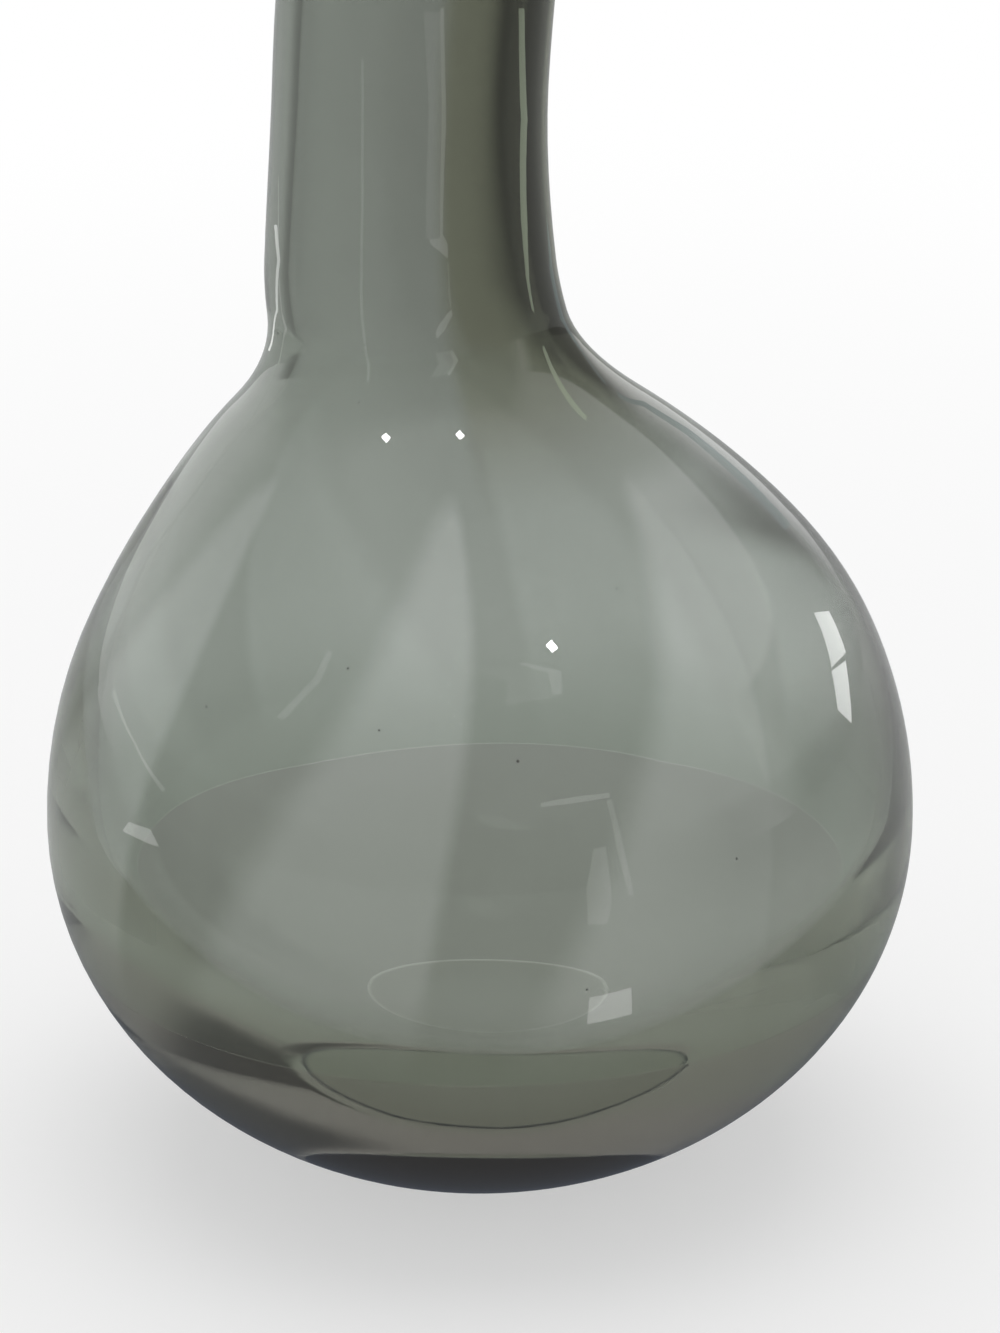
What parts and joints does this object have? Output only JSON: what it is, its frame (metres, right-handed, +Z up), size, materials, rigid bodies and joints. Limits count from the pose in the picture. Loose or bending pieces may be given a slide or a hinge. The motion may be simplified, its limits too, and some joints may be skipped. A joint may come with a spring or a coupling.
{
  "type": "twisted glass vase",
  "caption": "Smoke glass bottle vase: a thick-walled round globe whose tall neck leaves off centre and winds up to a flared lip.",
  "frame": {"origin": "on the table, under the middle of the globe and of the foot ring", "axes": "+Z up through the globe; the neck leaves towards -X and winds towards -Y, which is the pictured front"},
  "size_m": [0.16, 0.16, 0.3],
  "materials": {
    "clear_glass": "fire polished",
    "smoke_glass": "fire polished",
    "base_glass": "fire polished, ring ground"
  },
  "bodies": {
    "root": {"clear_bubble": "clear_glass", "smoke_casing": "smoke_glass", "base_heel": "base_glass"}
  },
  "joints": []
}
